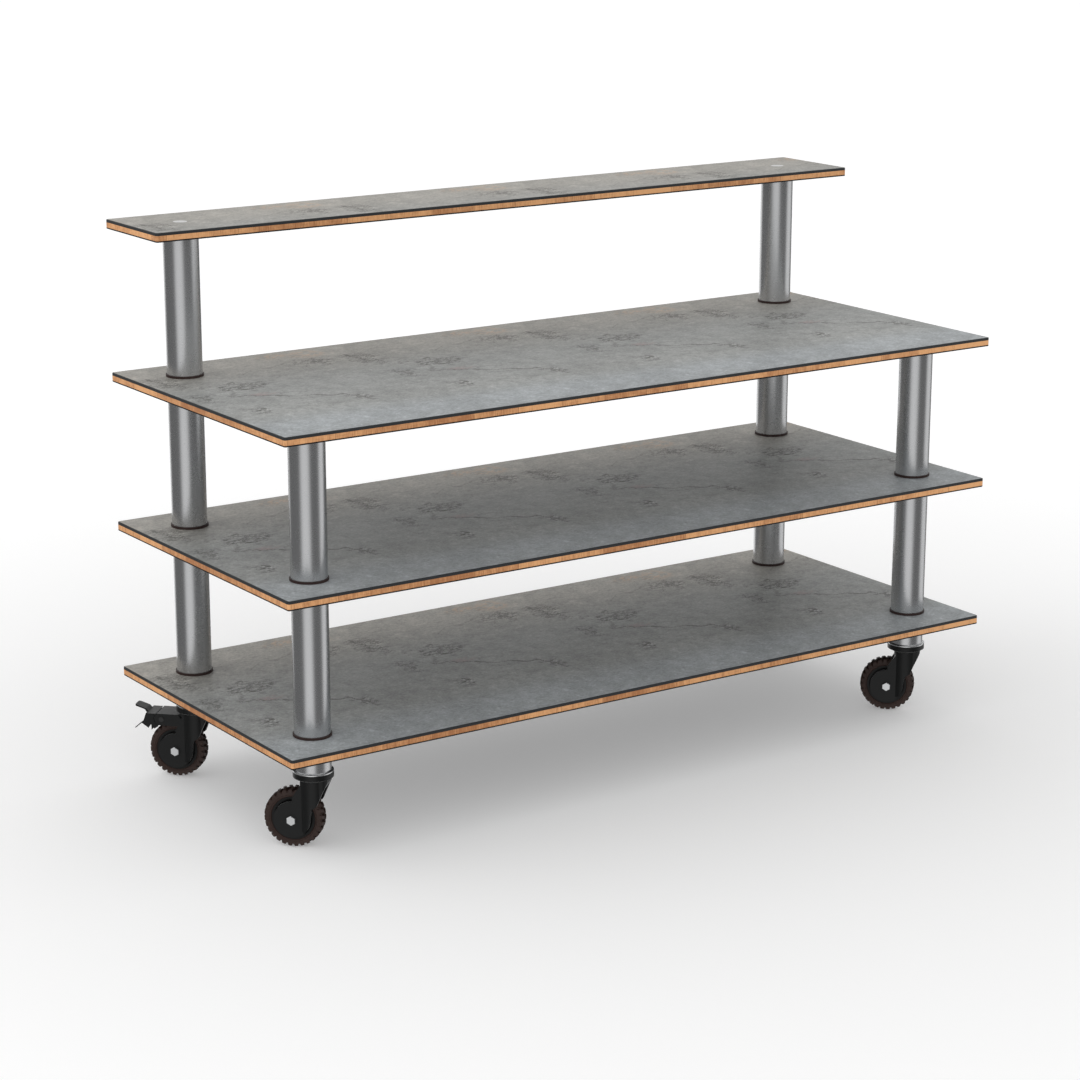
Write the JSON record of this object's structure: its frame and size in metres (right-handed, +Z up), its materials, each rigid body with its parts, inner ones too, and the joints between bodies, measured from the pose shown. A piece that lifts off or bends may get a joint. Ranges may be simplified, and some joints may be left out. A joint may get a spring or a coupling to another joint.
{
  "type": "mobile shelf trolley",
  "caption": "Mobile display and serving trolley: deep stone-look boards and a narrow raised rear shelf on round steel posts, with swivel castors and rear brakes.",
  "frame": {"origin": "on the floor, under the middle of the boards", "axes": "+X along the length, +Y towards the rear, +Z up"},
  "size_m": [1.45, 0.6, 0.974],
  "materials": {
    "board_sheet": "stone-look laminate, matt, dark at the edge",
    "board_core": "oiled plywood edge",
    "board_backing": "matt black backing sheet",
    "tube_steel": "satin, brushed round the tube",
    "ring_rubber": "dark red-brown rubber",
    "plug_plastic": "moulded",
    "cap_steel": "satin, turned",
    "zinc_steel": "bright zinc",
    "pin_steel": "black",
    "castor_plastic": "fine moulded grain",
    "hub_plastic": "moulded",
    "tyre_rubber": "dark brown rubber with tread lugs"
  },
  "bodies": {
    "frame": {"bottom_board_backing": "board_backing", "bottom_board_core": "board_core", "bottom_board_sheet": "board_sheet", "cap_nuts": "cap_steel", "kingpins": "zinc_steel", "lower_tube_front_left": "tube_steel", "lower_tube_front_right": "tube_steel", "lower_tube_rear_left": "tube_steel", "lower_tube_rear_right": "tube_steel", "middle_board_backing": "board_backing", "middle_board_core": "board_core", "middle_board_sheet": "board_sheet", "middle_tube_front_left": "tube_steel", "middle_tube_front_right": "tube_steel", "middle_tube_rear_left": "tube_steel", "middle_tube_rear_right": "tube_steel", "neck_inserts": "zinc_steel", "neck_tube_front_left": "tube_steel", "neck_tube_front_right": "tube_steel", "neck_tube_rear_left": "tube_steel", "neck_tube_rear_right": "tube_steel", "race_plates": "zinc_steel", "seat_rings": "ring_rubber", "swivel_balls": "zinc_steel", "tie_rods": "zinc_steel", "top_shelf_backing": "board_backing", "top_shelf_core": "board_core", "top_shelf_sheet": "board_sheet", "tube_plugs": "plug_plastic", "upper_tube_rear_left": "tube_steel", "upper_tube_rear_right": "tube_steel", "worktop_backing": "board_backing", "worktop_core": "board_core", "worktop_inserts": "zinc_steel", "worktop_sheet": "board_sheet"},
    "swivel_front_left": {"axle_bolt_front_left": "zinc_steel", "axle_nut_front_left": "zinc_steel", "fork_front_left": "castor_plastic"},
    "wheel_front_left": {"tyre_front_left": "tyre_rubber", "wheel_hub_front_left": "hub_plastic"},
    "swivel_front_right": {"axle_bolt_front_right": "zinc_steel", "axle_nut_front_right": "zinc_steel", "fork_front_right": "castor_plastic"},
    "wheel_front_right": {"tyre_front_right": "tyre_rubber", "wheel_hub_front_right": "hub_plastic"},
    "swivel_rear_left": {"axle_bolt_rear_left": "zinc_steel", "axle_nut_rear_left": "zinc_steel", "fork_rear_left": "castor_plastic", "pedal_pin_rear_left": "pin_steel"},
    "wheel_rear_left": {"tyre_rear_left": "tyre_rubber", "wheel_hub_rear_left": "hub_plastic"},
    "pedal_rear_left": {"brake_pedal_rear_left": "castor_plastic"},
    "swivel_rear_right": {"axle_bolt_rear_right": "zinc_steel", "axle_nut_rear_right": "zinc_steel", "fork_rear_right": "castor_plastic", "pedal_pin_rear_right": "pin_steel"},
    "wheel_rear_right": {"tyre_rear_right": "tyre_rubber", "wheel_hub_rear_right": "hub_plastic"},
    "pedal_rear_right": {"brake_pedal_rear_right": "castor_plastic"}
  },
  "joints": [
    {"name": "swivel_front_left", "type": "hinge", "parent": "frame", "child": "swivel_front_left", "pos_m": [-0.634, -0.206, 0.1], "axis": [0, 0, 1], "continuous": true},
    {"name": "wheel_front_left", "type": "hinge", "parent": "swivel_front_left", "child": "wheel_front_left", "pos_m": [-0.65663, -0.18337, 0.05], "axis": [-0.7071, -0.7071, 0], "continuous": true},
    {"name": "swivel_front_right", "type": "hinge", "parent": "frame", "child": "swivel_front_right", "pos_m": [0.634, -0.206, 0.1], "axis": [0, 0, 1], "continuous": true},
    {"name": "wheel_front_right", "type": "hinge", "parent": "swivel_front_right", "child": "wheel_front_right", "pos_m": [0.61137, -0.18337, 0.05], "axis": [-0.7071, -0.7071, 0], "continuous": true},
    {"name": "swivel_rear_left", "type": "hinge", "parent": "frame", "child": "swivel_rear_left", "pos_m": [-0.634, 0.206, 0.1], "axis": [0, 0, 1], "continuous": true},
    {"name": "wheel_rear_left", "type": "hinge", "parent": "swivel_rear_left", "child": "wheel_rear_left", "pos_m": [-0.65663, 0.22863, 0.05], "axis": [-0.7071, -0.7071, 0], "continuous": true},
    {"name": "pedal_rear_left", "type": "hinge", "parent": "swivel_rear_left", "child": "pedal_rear_left", "pos_m": [-0.6736, 0.2456, 0.106], "axis": [-0.7071, -0.7071, 0], "range_deg": [0, 10]},
    {"name": "swivel_rear_right", "type": "hinge", "parent": "frame", "child": "swivel_rear_right", "pos_m": [0.634, 0.206, 0.1], "axis": [0, 0, 1], "continuous": true},
    {"name": "wheel_rear_right", "type": "hinge", "parent": "swivel_rear_right", "child": "wheel_rear_right", "pos_m": [0.61137, 0.22863, 0.05], "axis": [-0.7071, -0.7071, 0], "continuous": true},
    {"name": "pedal_rear_right", "type": "hinge", "parent": "swivel_rear_right", "child": "pedal_rear_right", "pos_m": [0.5944, 0.2456, 0.106], "axis": [-0.7071, -0.7071, 0], "range_deg": [0, 10]}
  ]
}
